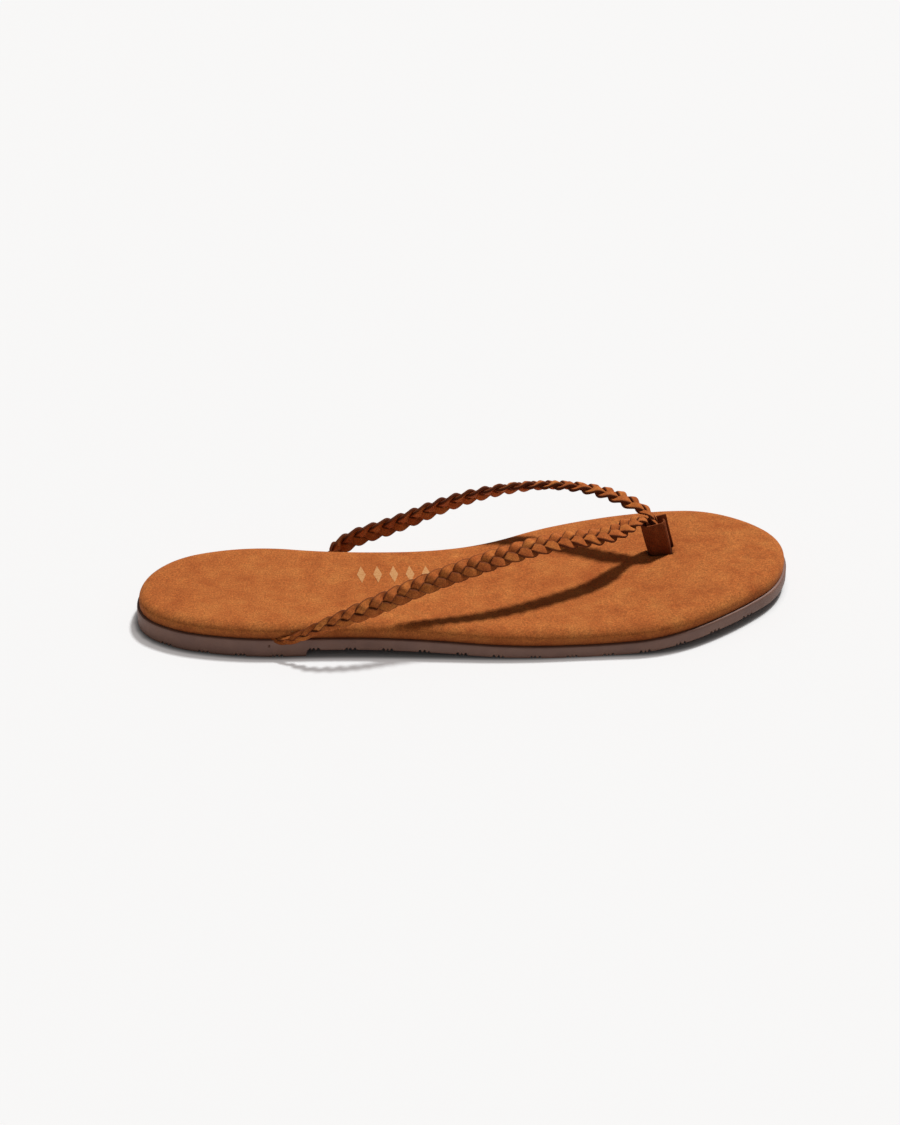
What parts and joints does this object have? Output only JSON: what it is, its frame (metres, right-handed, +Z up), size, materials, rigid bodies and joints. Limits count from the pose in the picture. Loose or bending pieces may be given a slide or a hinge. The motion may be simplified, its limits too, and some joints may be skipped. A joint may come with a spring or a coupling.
{
  "type": "flip flop",
  "caption": "Right-foot thong sandal: padded leather footbed on a rubber outsole with a low heel, two plaited straps meeting in a leather toe post.",
  "frame": {"origin": "on the ground under the centre of the sole's plan", "axes": "+X to the toe, +Y to the big-toe side, +Z up"},
  "size_m": [0.254, 0.0874, 0.0365],
  "materials": {
    "outsole_rubber": "matt moulded",
    "filler_felt": "felted",
    "insole_fibreboard": "pressed",
    "footbed_foam": "open cell",
    "footbed_nubuck": "nubuck",
    "stamped_foil": "satin foil",
    "strap_leather": "waxed",
    "lining_leather": "plain",
    "post_leather": "waxed",
    "post_webbing": "woven"
  },
  "bodies": {
    "root": {"outsole": "outsole_rubber", "bottom_filler": "filler_felt", "insole_board": "insole_fibreboard", "footbed_foam": "footbed_foam", "footbed_cover": "footbed_nubuck", "foil_mark": "stamped_foil", "lateral_strand_1": "strap_leather", "lateral_strand_2": "strap_leather", "lateral_strand_3": "strap_leather", "medial_strand_1": "strap_leather", "medial_strand_2": "strap_leather", "medial_strand_3": "strap_leather", "lateral_anchor_tab": "lining_leather", "medial_anchor_tab": "lining_leather", "toe_post_sleeve": "post_leather", "toe_post_core": "post_webbing", "toe_post_patch": "lining_leather"}
  },
  "joints": []
}
